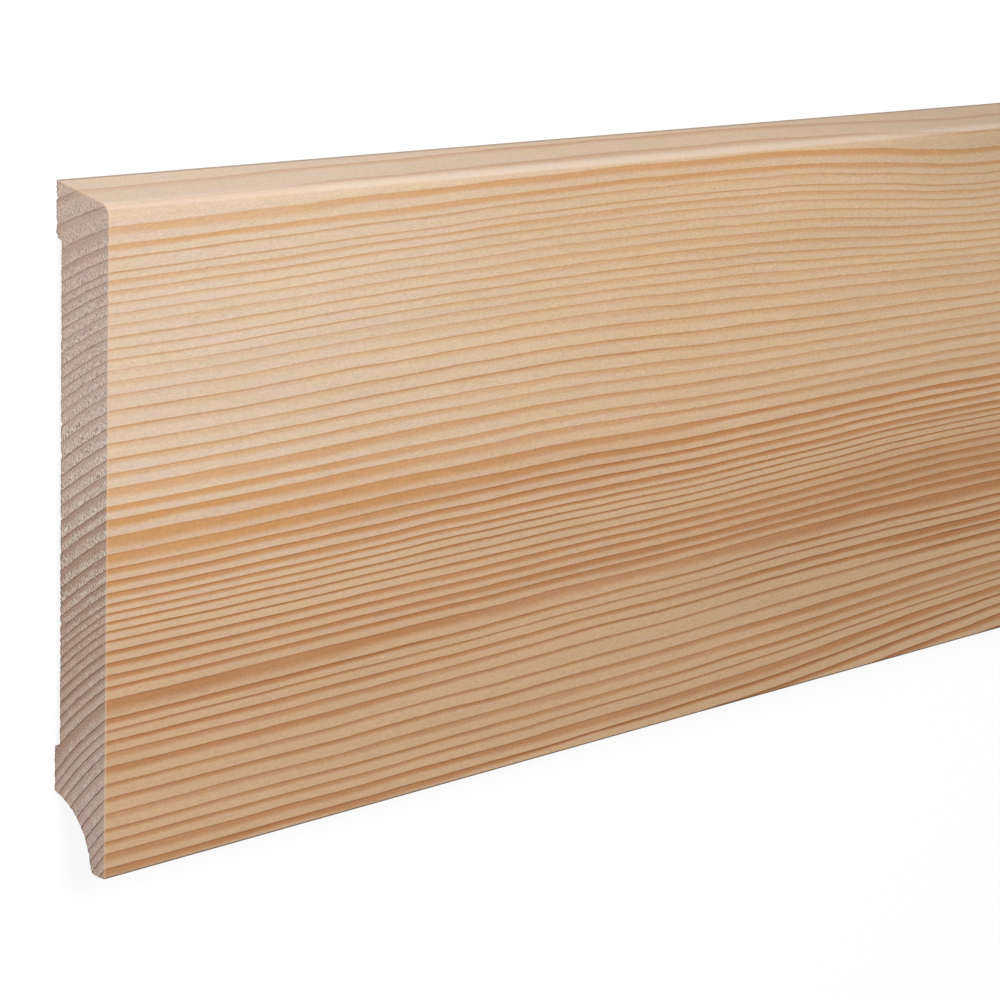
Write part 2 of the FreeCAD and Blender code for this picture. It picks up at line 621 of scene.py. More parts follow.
# Each column's luck: what the noise does to it from its low side to its high side
LUCK = {
    "share": (1, (0.3, 0.7, 0.72, 1.28)),
    "amber": (2, (0.7, 0.3, 0.85, 1.15)),
    "line": (3, (0.7, 0.3, 0.6, 1.3)),
}


def by_year(net, year, far, patch, name):
    """One column of both tables as curves over the years, mixed, with a factor of luck."""
    column, luck = LUCK[name]
    at_end, along = (
        net.curve(year, [(row[0], row[column]) for row in years])
        for years in (YEARS_AT_END, YEARS_ALONG)
    )
    mixed = net.times_plus(net.minus(along, at_end), far, at_end)
    return net.times(mixed, net.ramped(patch, *luck))


def zone(net, wood, along, *heights):
    """A soft-edged zone: smooth steps along the board and over the ring heights."""
    return net.times(net.eased(wood["Along"], *along), net.fades(wood["Height"], *heights))


print("the tables meet from", TABLES_MEET[0], "to", TABLES_MEET[1], "mm along the board")


# %% How late in its year the wood grew
# Zones in which the years are stronger or weaker, as steps along and steps over heights
STRONG_ZONE = [(180, 250), (50, 34, 0.0, 0.38), (4, 20, 0.35, 1.0)]
STRONGEST_ZONE = [(255, 300), (20, 25), (30, 35, 0.9, 0.0)]
WEAK_ZONE = [(220, 320), (126, 136, 0.0, -0.4)]
MOST_SHARE = 0.62
MOST_AMBER = 1.15

# The amber rises from one to the other, counted back from the year's end in shares
RISE_START = 1.5
RISE_END = 0.5

# How soon the colour falls in the next year, how wide the dark line is, where it is full
FALL_SHARE = 0.06
LINE_SHARE = 0.15
LINE_FULL = 0.98


def add_lateness(net, wood):
    """How late in its year the wood grew: its amber and its dark line, each from 0 to 1."""
    year = net.math("CEIL", wood["Rings"])
    part = net.math("FRACT", wood["Rings"])
    patch = net.noise(net.joined(net.over(wood["Along"], PATCH_LENGTH), net.times(year, NEXT_YEAR), 0.0))
    far = net.eased(wood["Along"], *TABLES_MEET)
    strong = net.plus(zone(net, wood, *STRONG_ZONE), zone(net, wood, *STRONGEST_ZONE), 1.0)
    wide = net.plus(zone(net, wood, *WEAK_ZONE), strong)
    share = net.math("MINIMUM", net.times(by_year(net, year, far, patch, "share"), wide), MOST_SHARE)
    amber = net.math("MINIMUM", net.times(by_year(net, year, far, patch, "amber"), strong), MOST_AMBER)
    line = net.times(by_year(net, year, far, patch, "line"), strong)
    start = net.times_plus(share, -RISE_START, 1.0)
    full = net.times_plus(share, -RISE_END, 1.0)
    fall = net.ramped(part, 0.0, FALL_SHARE, 1.0, 0.0)
    late = net.largest(net.eased(part, start, full), fall)
    last = net.largest(net.eased(part, 1.0 - LINE_SHARE, LINE_FULL), fall)
    return {"Part": part, "Late": late, "Amber": net.times(late, amber), "Line": net.times(last, line)}


print("summerwood takes up to", MOST_SHARE, "of a year's width")


# %% Rings and years together
def grown_wood(net, position, kind):
    """The ring group in a tree of that kind, with lateness added: all it says, by name."""
    group = net.node(kind + "NodeGroup", node_tree=ring_groups[kind])
    net.feed(group, {"Position": position})
    wood = {socket.name: socket for socket in group.outputs}
    wood.update(add_lateness(net, wood))
    return wood


# %% [markdown]
# ## Where the saw tears
# A saw cuts hard summerwood cleanly and tears soft springwood, more in some years than
# in others and in patches along the rays. Both the colour of the end and the loose
# fibres on it need this, so it has a function of its own.

# %% Torn springwood
# Bands of ring heights: the middle of the board is torn most, the years near the foot less
TORN_FADES = [(56, 70, 0.3, 1.0), (98, 118, 1.0, 0.55), (122, 140, 1.0, 0.5)]
TORN_NEAR_FOOT = (26, 38, 0.7, 0.0)
SPRING_PART = (0.35, 0.75, 1.0, 0.05)
TORN_PATCH = (3.5, 3)
TORN_PATCH_LAYER = 4.0
TORN_PATCH_SHARE = (0.35, 0.62, 0.35, 1.0)


def torn_springwood(net, wood):
    """How torn the sawn end is, from 0 to 1: soft springwood tears, and in patches."""
    height = wood["Height"]
    band = net.largest(net.fades(height, *TORN_FADES), net.eased(height, *TORN_NEAR_FOOT))
    wide, high = TORN_PATCH
    patch = net.noise(net.cells(wood["Round"], wide, height, high, TORN_PATCH_LAYER), detail=1.0)
    soft = net.eased(wood["Part"], *SPRING_PART)
    return net.times(soft, band, net.ramped(patch, *TORN_PATCH_SHARE))


print("torn patches are about", TORN_PATCH[0], "by", TORN_PATCH[1], "mm")


# %% [markdown]
# ## Paint for the wood
# Each finish starts from colours seen in daylight, so a helper turns the everyday
# 0 to 255 values into the linear ones that a shader wants. Bare wood has hardly any
# sheen, so every finish here shares one low value for it.


# %% Colours
def paint(red, green, blue):
    """A colour from 0 to 255 values, as a shader socket takes it."""
    shares = [value / 255 for value in (red, green, blue)]
    linear = [share / 12.92 if share <= 0.04045 else ((share + 0.055) / 1.055) ** 2.4 for share in shares]
    return (*linear, 1.0)


SAPWOOD = paint(226, 192, 156)
# Sapwood with a painted sheen, for near the sawn ends
PAINTED_SHEEN_SAPWOOD = paint(226, 199, 172)
HEARTWOOD = paint(212, 175, 138)
SAP_AMBER = paint(214, 160, 106)
DEEP_SAP_AMBER = paint(206, 146, 92)
HEART_AMBER = paint(188, 131, 84)
SAP_LINE = paint(184, 125, 76)
HEART_LINE = paint(148, 97, 62)
# Bare wood of the rubbed arris, also painted paler as a highlight
ARRIS_WORN_AND_LIT = paint(230, 202, 174)
# A painted highlight for the rounded crown
CROWN_PAINTED_HIGHLIGHT = paint(252, 236, 222)
# Painted shade for the foot's front arris and the top's back arris
EDGE_PAINTED_SHADE = paint(88, 72, 66)
print("sapwood in linear light:", [round(value, 3) for value in SAPWOOD[:3]])

# %% A material's start and finish
BARE_SHEEN = 0.2


def empty_net(holder):
    """The net of a material or a world, with its first nodes cleared away."""
    holder.use_nodes = True
    holder.node_tree.nodes.clear()
    return Net(holder.node_tree)


def new_material(name):
    """An empty node material with its shader and the board's coordinates ready."""
    material = bpy.data.materials.new(name)
    net = empty_net(material)
    shader = net.node("ShaderNodeBsdfPrincipled")
    net.feed(net.node("ShaderNodeOutputMaterial"), {"Surface": shader.outputs[0]})
    position = net.node("ShaderNodeTexCoord").outputs["Object"]
    return material, net, shader, position


def finish(net, shader, colour, roughness):
    """Give a shader its colour and roughness, and the faint sheen of bare wood."""
    net.feed(shader, {"Base Color": colour, "Roughness": roughness, "Specular IOR Level": BARE_SHEEN})


def relieve(net, shader, height, strength, depth):
    """Give a shader a shallow relief, of a depth in metres, for light to catch on."""
    values = {"Strength": strength, "Distance": depth, "Height": height}
    net.feed(shader, {"Normal": net.made("ShaderNodeBump", values)})


print("sheen of bare wood:", BARE_SHEEN)


# %% [markdown]
# ## Planed softwood
# The face, the edges and the machined back share one finish: planed across the
# fibres, smooth but bare, with no varnish. First come the ring colours. The years near
# the foot are dark heartwood and those above are pale sapwood, made paler near the
# sawn end by a painted sheen. Two marks are this tree's own: a flush of amber over a
# few years near the end, and a long stain of amber in the heartwood.

# %% Ring colours on the face
# Steps over ring heights or along the board, in millimetres: from, to, before and after
HEART_TO_SAP = (34, 94)
# A painted sheen makes the sapwood paler near the sawn ends
PAINTED_SHEEN_NEAR_END = (20, 200, 1.0, 0.0)
DEEP_AMBER = (82, 102, 1.0, 0.0)
FLUSH_ZONE = [(150, 210, 1.0, 0.0), (62, 70, 0.0, 0.18), (74, 80, 1.0, 0.0)]
STAIN_MIDDLE = (290.0, 47.5)
STAIN_SPREAD = (95.0, 9.0)
STAIN_FADE = (0.2, 1.6, 0.28, 0.0)


def ring_colours(net, wood, from_end):
    """The pale, the amber and the dark line of each year, from heartwood to sapwood."""
    height = wood["Height"]
    sap = net.eased(height, *HEART_TO_SAP)
    # Painted sheen near the ends: paler sapwood there, and deeper amber away from them
    painted_sheen = net.eased(from_end, *PAINTED_SHEEN_NEAR_END)
    pale = net.blend(sap, HEARTWOOD, net.blend(painted_sheen, SAPWOOD, PAINTED_SHEEN_SAPWOOD))
    deep = net.times(net.minus(1.0, painted_sheen), net.eased(height, *DEEP_AMBER))
    amber = net.blend(sap, HEART_AMBER, net.blend(deep, SAP_AMBER, DEEP_SAP_AMBER))
    line = net.blend(sap, HEART_LINE, SAP_LINE)
    pale = net.blend(zone(net, wood, *FLUSH_ZONE), pale, amber)
    colour = net.blend(wood["Line"], net.blend(wood["Amber"], pale, amber), line)
    off_stain = from_middle(net, wood["Along"], height, STAIN_MIDDLE, STAIN_SPREAD)
    stained = net.eased(net.vector("LENGTH", off_stain), *STAIN_FADE)
    return net.blend(stained, colour, amber)


print("heartwood gives way to sapwood from", HEART_TO_SAP[0], "to", HEART_TO_SAP[1], "mm up")


# %% [markdown]
# ## Streaks, flecks and canals
# Over the rings lies what the eye reads as fibre: streaks along the grain, broad
# clouds, fine flecks and a mottle that drifts from yellower to pinker. All are noises
# drawn out along the board and laid on the ring pattern's own height, so that they
# bend with the grain. The resin canals are rare short dashes. A cell pattern suits
# them, since each cell holds one dash and a random colour that says whether it shows.

# %% Fine grain on the face
# Each grain is drawn out to a length along the board and a height across the grain
STREAK_LENGTH = 7
CLOUD_CELL = (90, 9)
FLECK_CELL = (1.0, 0.4)
MOTTLE_CELL = (15.0, 2.0)

# Scale, detail and roughness of each noise
STREAK_NOISE = (2.4, 5.0, 0.75)
FLECK_NOISE = (1.0, 2.0, 0.7)
MOTTLE_NOISE = (1.0, 3.0, 0.5)

# What the middle of a noise, from low to high, does to the brightness
STREAK_SHADE = (0.3, 0.7, 0.93, 1.06)
CLOUD_SHADE = (0.3, 0.7, 0.97, 1.03)
FLECK_SHADE = (0.3, 0.7, 0.9, 1.1)
FLECK_SHARE = (20, 260, 0.75, 1.0)
FLECK_TINT = 0.15
MOTTLE_SIZE = (0.06, 0.06, 0.4)
MOTTLE_BASE = (0.97, 0.97, 0.8)

# Painted shade where the light falls off: darker near the top edge, from some way along the board
PAINTED_FALLOFF_ALONG = (215, 325, 0.0, 0.14)
PAINTED_FALLOFF_UP = (126, 147)


def fine_grain(net, wood, colour):
    """A colour with its streaks, clouds, painted shade near the top edge, flecks and mottle, and the
    streaks by themselves.
    """
    along, height, around = wood["Along"], wood["Height"], wood["Round"]
    streak = net.noise(net.joined(net.over(along, STREAK_LENGTH), height, around), *STREAK_NOISE)
    cloud = net.noise(net.cells(along, CLOUD_CELL[0], height, CLOUD_CELL[1]))
    # Painted shade: the light's falloff near the top edge
    darker = net.times(net.eased(along, *PAINTED_FALLOFF_ALONG), net.eased(wood["Up"], *PAINTED_FALLOFF_UP))
    shade = net.times(net.ramped(streak, *STREAK_SHADE), net.ramped(cloud, *CLOUD_SHADE))
    colour = net.shaded(colour, net.times(shade, net.minus(1.0, darker)))
    fleck_place = net.cells(along, FLECK_CELL[0], height, FLECK_CELL[1], around)
    fleck, fleck_colour = net.noise(fleck_place, *FLECK_NOISE, BOTH)
    colour = net.tinted(colour, fleck_colour, FLECK_TINT)
    colour = net.shaded(colour, net.ramped(fleck, *FLECK_SHADE), net.eased(along, *FLECK_SHARE))
    mottle_place = net.cells(along, MOTTLE_CELL[0], height, MOTTLE_CELL[1], around)
    mottle = net.noise(mottle_place, *MOTTLE_NOISE, COLOUR)
    mottle = net.vector("MULTIPLY_ADD", mottle, MOTTLE_SIZE, MOTTLE_BASE)
    return net.blend(1.0, colour, mottle, "MULTIPLY"), streak


print("flecks of", FLECK_CELL, "mm on clouds of", CLOUD_CELL, "mm")


# %% Resin canals
CANAL_CELL = (5.0, 0.9)
CANAL_NEAR = (0.05, 0.12, 1.0, 0.0)
CANAL_CHANCE = 0.72
CANAL_SHARE = 0.4


def resin_canals(net, wood, colour):
    """A colour with the short dark dashes of resin canals."""
    canal_place = net.cells(wood["Along"], CANAL_CELL[0], wood["Height"], CANAL_CELL[1], wood["Round"])
    distance, cell_colour = net.made("ShaderNodeTexVoronoi", {"Vector": canal_place, "Scale": 1.0}, BOTH)
    picked = net.math("GREATER_THAN", net.parts(cell_colour)[0], CANAL_CHANCE)
    share = net.times(net.ramped(distance, *CANAL_NEAR), picked, CANAL_SHARE)
    return net.blend(share, colour, HEART_LINE)


print("a canal shows in", round(100 * (1 - CANAL_CHANCE)), "of 100 cells")


# %% [markdown]
# ## Painted light and wear at the edges
# The rounded crown is painted pale as a highlight, painted shade darkens the sharp
# corners at the foot and the top, and the sawn end's arris is rubbed bare and painted
# paler as the highlight it catches. Each is a narrow band found from the height, the
# depth or the distance from the end. A picture could hold them too, but these stay
# sharp at any distance.

# %% Painted highlight, painted shade and rubbed edges
# Bands in millimetres up the board, in front of its back or from its end
CROWN_START = (145.5, 146.0)
CROWN_FADE = (146.9, 147.3, 0.4, 0.15)
CROWN_DEPTH = (0.1, 0.5)
# Painted shade along the foot's front arris and along the top's back arris
FOOT_PAINTED_SHADE = (0.25, 0.6, 0.95, 0.0)
FOOT_FRONT = (17.2, 17.6)
TOP_PAINTED_SHADE = (149.6, 149.85, 0.0, 0.45)
TOP_BACK = (1.4, 0.5)
WORN_AND_LIT_REACH = (0.1, 0.4, 0.6, 0.0)

# From the middle of the board forwards, as a share of the way from back to face
FRONT_HALF = (0.5, 0.6)


def painted_edge_light_and_wear(net, wood, from_end, colour):
    """A colour with painted highlights on the crown and the end's rubbed arris, and painted shade in
    corners.
    """
    up, depth = wood["Up"], wood["Depth"]
    # The rounded crown is painted pale: a painted highlight
    crown = net.times(net.ramped(up, *CROWN_START), net.ramped(up, *CROWN_FADE))
    crown = net.times(crown, net.ramped(depth, *CROWN_DEPTH))
    colour = net.blend(crown, colour, CROWN_PAINTED_HIGHLIGHT)
    # Painted shade along the foot's front arris and the top's back arris
    foot_painted_shade = net.times(net.ramped(up, *FOOT_PAINTED_SHADE), net.ramped(depth, *FOOT_FRONT))
    top_painted_shade = net.times(net.ramped(up, *TOP_PAINTED_SHADE), net.ramped(depth, *TOP_BACK))
    colour = net.blend(net.largest(foot_painted_shade, top_painted_shade), colour, EDGE_PAINTED_SHADE)
    # The end's arris is rubbed bare and painted paler as the highlight it catches
    worn_and_lit = net.times(net.ramped(from_end, *WORN_AND_LIT_REACH), net.ramped(net.noted("across"), *FRONT_HALF))
    return net.blend(worn_and_lit, colour, ARRIS_WORN_AND_LIT)


# The crown's pale band is a painted highlight
print("the crown is rubbed pale from", CROWN_START[0], "mm up")

# %% Planed material
# Springwood is a little rougher than summerwood; the relief is a strength and a depth
PLANED_ROUGHNESS = (0.0, 1.0, 0.62, 0.54)
PLANED_RELIEF = (0.25, 0.06 * MM)


def planed_softwood():
    """Bare planed softwood with its grain running along the board."""
    material, net, shader, position = new_material("planed_softwood")
    wood = grown_wood(net, position, "Shader")
    from_end = net.math("MINIMUM", wood["Along"], net.minus(LENGTH, wood["Along"]))
    colour, streak = fine_grain(net, wood, ring_colours(net, wood, from_end))
    colour = painted_edge_light_and_wear(net, wood, from_end, resin_canals(net, wood, colour))
    finish(net, shader, colour, net.ramped(wood["Late"], *PLANED_ROUGHNESS))
    relieve(net, shader, net.times_plus(wood["Late"], HALF, net.times(streak, HALF)), *PLANED_RELIEF)
    return material


planed = planed_softwood()
print(planed.name, "has", len(planed.node_tree.nodes), "nodes")

# %% [markdown]
# ## Sawn end grain
# Across the end the wood is cut through its tubes, so it drinks the light and looks
# greyer and pinker than the face. The wood below each dark line is smooth and brown,
# and the springwood just above it is torn into pale flecks and dark pits that lie
# along the rays, at right angles to the rings. The flecks and pits are one noise drawn
# out along the rays: its high parts are flecks, its low parts pits.

# %% Colours across the sawn end
SAP_END = paint(222, 197, 182)
HEART_END = paint(211, 185, 170)
SAP_END_BROWN = paint(193, 161, 142)
HEART_END_BROWN = paint(181, 146, 124)
SAP_END_LINE = paint(142, 106, 88)
HEART_END_LINE = paint(106, 76, 68)
SAP_FLECK = paint(250, 240, 225)
HEART_FLECK = paint(243, 228, 212)
# Painted shade along the back arris of the end
BACK_PAINTED_SHADE = paint(128, 108, 96)
PIT = paint(128, 102, 88)
DENSE_YEARS_END = paint(200, 164, 142)
DENSE_FADES = [(38, 54, 0.0, 0.5), (68, 84, 1.0, 0.0)]
BROWN_FADES = [(22, 46, 0.35, 1.0), (84, 104, 1.0, 0.75)]


def end_colours(net, wood, sap):
    """Pale springwood and brown summerwood of the sawn end."""
    height = wood["Height"]
    pale = net.blend(sap, HEART_END, SAP_END)
    pale = net.blend(net.fades(height, *DENSE_FADES), pale, DENSE_YEARS_END)
    brown = net.blend(sap, HEART_END_BROWN, SAP_END_BROWN)
    return net.blend(net.times(wood["Amber"], net.fades(height, *BROWN_FADES)), pale, brown)


print("dense years lie from", DENSE_FADES[0][0], "to", DENSE_FADES[1][1], "mm up")


# %% The saw's marks
# The texture is weaker over the dense years near the foot, and the grit near the top
ROUGH_YEARS = (44, 66, 0.5, 1.0)
GRIT_FADE = (116, 130, 1.0, 0.75)
GRIT_SHADE = (0.3, 0.7, 0.75, 1.25)
GRIT_SCALE = 3.4
RAY_CELL = (0.27, 1.1)
RAY_TINT = 0.07
CLOUD_SIZE = 5.0
CLOUD_LAYER = 2.0
CLOUD_TINT = (34, 56, 0.2, 0.1)
FLECK_PART = (0.48, 0.6)
PIT_PART = (0.49, 0.38)
PITS_WHERE_TORN = 0.55
PITS_ELSEWHERE = 0.2


def saw_marks(net, wood, position, sap, rough, colour):
    """A colour with the saw's grit, pale flecks and pits, and the flecks by themselves."""
    height, around = wood["Height"], wood["Round"]
    torn = torn_springwood(net, wood)
    ray_place = net.cells(around, RAY_CELL[0], height, RAY_CELL[1])
    ray, ray_colour = net.noise(ray_place, detail=1.0, output=BOTH)
    colour = net.tinted(colour, ray_colour, RAY_TINT)
    cloud_place = net.cells(around, CLOUD_SIZE, height, CLOUD_SIZE, CLOUD_LAYER)
    cloud = net.noise(cloud_place, detail=1.0, output=COLOUR)
    colour = net.tinted(colour, cloud, net.eased(height, *CLOUD_TINT))
    grit = net.noise(net.scaled(position, 1 / MM), GRIT_SCALE, detail=0.0)
    gritty = net.times(net.eased(height, *GRIT_FADE), rough)
    colour = net.shaded(colour, net.ramped(grit, *GRIT_SHADE), gritty)
    fleck_share = net.times(net.ramped(ray, *FLECK_PART), torn)
    colour = net.blend(fleck_share, colour, net.blend(sap, HEART_FLECK, SAP_FLECK))
    pitted = net.times_plus(torn, PITS_WHERE_TORN, PITS_ELSEWHERE)
    pit_share = net.times(net.ramped(ray, *PIT_PART), pitted, rough)
    return net.blend(pit_share, colour, PIT), ray


print("flecks and pits of", RAY_CELL, "mm, across and along the rays")


# %% The dark line of each year
LINE_START = (0.88, 0.97)
LINE_END = (0.0, 0.04, 1.0, 0.0)
STRETCH_SHADE = (0.35, 0.65, 0.7, 1.2)
STRETCH_LENGTH = 5
STRETCH_LAYER = 8.0
LUCKY_YEARS = (86, 100, 0.0, 0.7)
LINE_FADES = [(130.0, 145.0, 1.0, 0.6), (18, 40, 1.25, 1.0)]
LINE_LEAST = 0.5
LINE_MORE = 0.6
LUCKIEST = 1.15


def year_lines(net, wood):
    """How dark each year's last line is on the sawn end, stretch by stretch."""
    line = net.largest(net.eased(wood["Part"], *LINE_START), net.ramped(wood["Part"], *LINE_END))
    strength = net.times_plus(wood["Line"], LINE_MORE, LINE_LEAST)
    year = net.math("CEIL", wood["Rings"])
    place = net.joined(net.over(wood["Round"], STRETCH_LENGTH), net.times(year, NEXT_YEAR), STRETCH_LAYER)
    stretch = net.ramped(net.noise(place), *STRETCH_SHADE)
    luck = net.times(net.chance(year), net.eased(wood["Height"], *LUCKY_YEARS))
    chances = net.times(line, strength, stretch, net.minus(LUCKIEST, luck))
    return net.times(chances, net.fades(wood["Height"], *LINE_FADES))


print("the line takes the last", round(1 - LINE_START[0], 2), "of a year's width")


# %% Sawn material
END_HEART_TO_SAP = (15, 85)
# The end's front arris, rubbed bare and painted paler as a highlight
END_ARRIS_WORN_AND_LIT = (0.1 * MM, 0.65 * MM, 0.7, 0.0)
END_ARRIS_LOW = (20, 34, 1.0, 0.5)
END_ARRIS_HIGH = (72, 88, 0.5, 1.0)
# Painted shade along the back arris, by distance from the back
BACK_SHADE_REACH = (0.1, 0.5, 0.5, 0.0)
SAWN_ROUGHNESS = 0.85
SAWN_RELIEF = (0.9, 0.1 * MM)


def end_arrises(net, wood, colour):
    """A colour with a rubbed front arris painted paler as a highlight, and painted shade on the back
    arris.
    """
    height = wood["Height"]
    sharp = net.largest(net.eased(height, *END_ARRIS_LOW), net.eased(height, *END_ARRIS_HIGH))
    front = net.ramped(net.noted("across"), *FRONT_HALF)
    # Rubbed bare and painted paler as a highlight
    worn_and_lit = net.times(net.ramped(net.noted("from_arris"), *END_ARRIS_WORN_AND_LIT), front, sharp)
    colour = net.blend(worn_and_lit, colour, net.blend(wood["Amber"], ARRIS_WORN_AND_LIT, SAP_AMBER))
    # Painted shade along the back arris
    return net.blend(net.ramped(net.noted("from_back"), *BACK_SHADE_REACH), colour, BACK_PAINTED_SHADE)


def sawn_end_grain():
    """Softwood sawn across its grain."""
    material, net, shader, position = new_material("sawn_end_grain")
    wood = grown_wood(net, position, "Shader")
    sap = net.eased(wood["Height"], *END_HEART_TO_SAP)
    rough = net.eased(wood["Height"], *ROUGH_YEARS)
    colour, ray = saw_marks(net, wood, position, sap, rough, end_colours(net, wood, sap))
    line = net.blend(sap, HEART_END_LINE, SAP_END_LINE)
    colour = end_arrises(net, wood, net.blend(year_lines(net, wood), colour, line))
    finish(net, shader, colour, SAWN_ROUGHNESS)
    relieve(net, shader, net.times(ray, rough), *SAWN_RELIEF)
    return material


sawn = sawn_end_grain()
print(sawn.name, "has", len(sawn.node_tree.nodes), "nodes")


# %% Loose fibre material
FIBRE_ROUGHNESS = 0.8
SPECK_NOISE = (4.0, 1.0)
SPECK_SHARE = 0.4
TINT_SHARE = (0.8, -0.2)


def loose_fibre():
    """Pale torn fibres, each with its own tint."""
    material, net, shader, position = new_material("torn_fibres")
    speck = net.noise(net.scaled(position, 1 / MM), *SPECK_NOISE)
    share = net.times_plus(speck, SPECK_SHARE, net.times_plus(net.noted("tint"), *TINT_SHARE))
    finish(net, shader, net.blend(share, SAP_END, SAP_FLECK), FIBRE_ROUGHNESS)
    return material


fibre_finish = loose_fibre()
print(fibre_finish.name, "has", len(fibre_finish.node_tree.nodes), "nodes")

# %% [markdown]
# ## From one slice to the whole board
# The board is its outline carried along a straight line and closed at both ends by
# the slice. Geometry nodes do this well, because the tree holds the rule and its
# inputs hold the sizes: the outline is taken from the slice's own border, a grid is
# wrapped round it from end to end, and its columns crowd towards the ends, where the
# arrises and the torn corners need them.


# %% Helpers for geometry trees
def named(net, name, kind="FLOAT"):
    """What a note on the mesh says at each point."""
    return net.made("GeometryNodeInputNamedAttribute", {"Name": name}, "Attribute", data_type=kind)


def stored(net, geometry, name, value, kind="FLOAT", domain="POINT"):
    """Geometry with one more note on it."""
    values = {"Geometry": geometry, "Name": name, "Value": value}
    return net.made("GeometryNodeStoreNamedAttribute", values, data_type=kind, domain=domain)


def joined_meshes(net, *parts):
    """Several meshes as one."""
    join = net.node("GeometryNodeJoinGeometry")
    for part in parts:
        net.tree.links.new(part, join.inputs[0])
    return join.outputs[0]


def coated(net, geometry, material, faces=True):
    """Geometry with a material on all of its faces, or on some."""
    values = {"Geometry": geometry, "Material": material, "Selection": faces}
    return net.made("GeometryNodeSetMaterial", values)


def here(net):
    """Where each point is."""
    return net.node("GeometryNodeInputPosition").outputs[0]


# %% A tree and the object that it grows
def new_tree(name, inputs):
    """A geometry tree with named inputs, its net and its input sockets."""
    tree = bpy.data.node_groups.new(name, "GeometryNodeTree")
    tree.interface.new_socket("Geometry", in_out="OUTPUT", socket_type="NodeSocketGeometry")
    for title, kind in {"Geometry": "Geometry", **inputs}.items():
        tree.interface.new_socket(title, in_out="INPUT", socket_type="NodeSocket" + kind)
    net = Net(tree)
    return tree, net, net.node("NodeGroupInput").outputs


def grown_object(name, start_mesh, tree, values):
    """Run a geometry tree on a start mesh and keep the result as a plain mesh object."""
    piece = bpy.data.objects.new(name, start_mesh)
    bpy.context.scene.collection.objects.link(piece)
    modifier = piece.modifiers.new(tree.name, "NODES")
    modifier.node_group = tree
    for socket in tree.interface.items_tree:
        if socket.in_out == "INPUT" and socket.name in values:
            modifier[socket.identifier] = values[socket.name]
    piece.update_tag()
    evaluated = piece.evaluated_get(bpy.context.evaluated_depsgraph_get())
    mesh = bpy.data.meshes.new_from_object(evaluated)
    piece.modifiers.clear()
    piece.data = mesh
    mesh.name = name
    return piece


# %% The slice's border and the columns along the board
def slice_border(net, sheet):
    """The slice's outline as a closed curve, and how many points it has."""
    uses = net.node("GeometryNodeInputMeshEdgeNeighbors").outputs["Face Count"]
    border = net.made("FunctionNodeCompare", {2: uses, 3: 1}, data_type="INT", operation="EQUAL")
    loop = net.made("GeometryNodeMeshToCurve", {"Mesh": sheet, "Selection": border})
    count = net.made("GeometryNodeAttributeDomainSize", {0: loop}, "Point Count", component="CURVE")
    return loop, count


def station_places(net, station, stations, length, crowding):
    """Where each station is along the board, and its distance from the nearer end."""
    half_count = net.over(net.minus(stations, 1.0), 2.0)
    past_middle = net.minus(station, half_count)
    steps_in = net.minus(half_count, net.math("ABSOLUTE", past_middle))
    grown = net.minus(net.math("EXPONENT", net.times(crowding, steps_in)), 1.0)
    whole = net.minus(net.math("EXPONENT", net.times(crowding, half_count)), 1.0)
    half_length = net.times(length, HALF)
    from_end = net.times(half_length, net.over(grown, whole))
    at = net.times(net.math("SIGN", past_middle), net.minus(half_length, from_end))
    return at, from_end


# %% The wrapped skin
def wrapped_skin(net, loop, count, given):
    """The long sides: a grid whose columns follow the slice's border from end to end."""
    stations = given["Stations"]
    size = {"Vertices X": net.plus(count, 1.0), "Vertices Y": stations}
    skin = net.made("GeometryNodeMeshGrid", size)
    index = net.node("GeometryNodeInputIndex").outputs[0]
    column = net.math("FLOOR", net.over(net.plus(index, HALF), stations))
    station = net.minus(index, net.times(column, stations))
    spot = net.math("MODULO", column, count)
    at, from_end = station_places(net, station, stations, given["Length"], given["Crowding"])

    def from_border(value, kind="FLOAT"):
        values = {"Geometry": loop, "Value": value, "Index": spot}
        return net.made("GeometryNodeSampleIndex", values, data_type=kind, domain="POINT")

    target = net.vector("ADD", from_border(here(net), "FLOAT_VECTOR"), net.joined(at, 0.0, 0.0))
    way_in = from_border(named(net, "inwards", "FLOAT_VECTOR"), "FLOAT_VECTOR")
    for name in ("across", "from_back"):
        skin = stored(net, skin, name, from_border(named(net, name)))
    skin = stored(net, skin, "inwards", way_in, "FLOAT_VECTOR")
    skin = stored(net, skin, "from_end", from_end)
    skin = stored(net, skin, "from_arris", 0.0)
    return net.made("GeometryNodeSetPosition", {"Geometry": skin, "Position": target})


# %% The two sawn ends
def end_sheets(net, sheet, loop, length):
    """The slice at both ends, facing outwards, with each point's distance from the arris."""
    wire = net.made("GeometryNodeCurveToMesh", {"Curve": loop})
    gap = net.made("GeometryNodeProximity", {0: wire}, "Distance", target_element="EDGES")
    sheet = stored(net, sheet, "from_arris", gap)
    sheet = stored(net, sheet, "from_end", 0.0)
    sheet = stored(net, sheet, "sawn", True, "BOOLEAN", "FACE")
    shift = net.joined(net.times(length, HALF), 0.0, 0.0)
    far = net.made("GeometryNodeTransform", {"Geometry": sheet, "Translation": shift})
    near = {"Geometry": sheet, "Translation": net.scaled(shift, -1.0)}
    return net.made("GeometryNodeFlipFaces", {"Mesh": far}), net.made("GeometryNodeTransform", near)


# %% [markdown]
# ## What the saw and the hand did to the ends
# Three small things happen to the points near each end: the arris is rounded over by a
# stroke of abrasive, the sawn surface sinks where the wood is soft, and the back
# corner, where the saw came out, breaks away in bites. Ordinary teeth there are chance,
# so a noise makes them, but the larger snags of the left end each have a height of
# their own. Every move goes inwards, so the board never grows past its true size.

